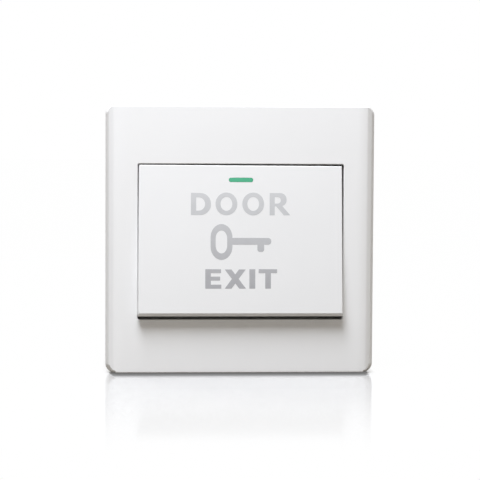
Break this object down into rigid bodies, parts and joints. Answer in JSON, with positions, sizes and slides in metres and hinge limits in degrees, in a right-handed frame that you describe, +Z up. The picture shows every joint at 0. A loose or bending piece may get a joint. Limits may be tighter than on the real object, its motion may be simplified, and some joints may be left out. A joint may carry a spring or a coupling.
{
  "type": "door exit button",
  "caption": "Square wall-mounted request-to-exit button: a clip-on frame round a wide sprung rocker that works a changeover switch with screw terminals.",
  "frame": {"origin": "centre of the plate's rear plane, on the wall's surface, midway between the two wall screw slots", "axes": "+Z up, +X to the right seen from the front; the front faces -Y and the switch behind the plate reaches to +Y, into the wall box"},
  "size_m": [0.086, 0.0371, 0.086],
  "materials": {
    "white_shell": "satin moulded white, slightly glossy",
    "green_indicator": "translucent green insert",
    "yoke_plastic": "matt white moulding",
    "housing_plastic": "matt light grey moulding",
    "base_plastic": "black moulding with fine grain",
    "plunger_plastic": "natural slippery moulding",
    "brass_strip": "stamped brass",
    "spring_bronze": "rolled spring bronze",
    "silver_contact": "silver contact face",
    "zinc_steel": "zinc-plated steel"
  },
  "bodies": {
    "mounting": {"face_frame": "white_shell", "mounting_yoke": "yoke_plastic", "switch_housing": "housing_plastic", "terminal_base": "base_plastic", "com_terminal": "brass_strip", "no_terminal": "brass_strip", "nc_terminal": "brass_strip", "no_contact": "silver_contact", "nc_contact": "silver_contact", "leaf_rivet": "brass_strip", "com_clamp": "zinc_steel", "no_clamp": "zinc_steel", "nc_clamp": "zinc_steel", "com_terminal_screw": "brass_strip", "no_terminal_screw": "brass_strip", "nc_terminal_screw": "brass_strip", "housing_screw_left": "zinc_steel", "housing_screw_right": "zinc_steel", "return_spring_left": "zinc_steel", "return_spring_right": "zinc_steel"},
    "rocker": {"rocker": "white_shell", "indicator_lens": "green_indicator"},
    "plunger": {"plunger": "plunger_plastic"},
    "contact_leaf": {"contact_leaf": "spring_bronze", "leaf_contact": "silver_contact"}
  },
  "joints": [
    {"name": "rocker_press", "type": "hinge", "parent": "mounting", "child": "rocker", "pos_m": [0, -0.0046, 0.0195], "axis": [1, 0, 0], "range_deg": [0, 5], "stiffness_Nm_per_rad": 0.37, "springref_deg": -8.02},
    {"name": "plunger_slide", "type": "slide", "parent": "mounting", "child": "plunger", "axis": [0, 1, 0], "range_m": [0, 0.0019], "deforming": ["return_spring_left", "return_spring_right"]},
    {"name": "leaf_flex", "type": "hinge", "parent": "mounting", "child": "contact_leaf", "pos_m": [0, 0.0075, 0.008], "axis": [1, 0, 0], "range_deg": [0, 4.6]}
  ],
  "couplings": [
    {"joint": "plunger_slide", "follows": "rocker_press", "m_per_rad": 0.0215},
    {"joint": "leaf_flex", "follows": "rocker_press", "ratio": 0.9177}
  ]
}
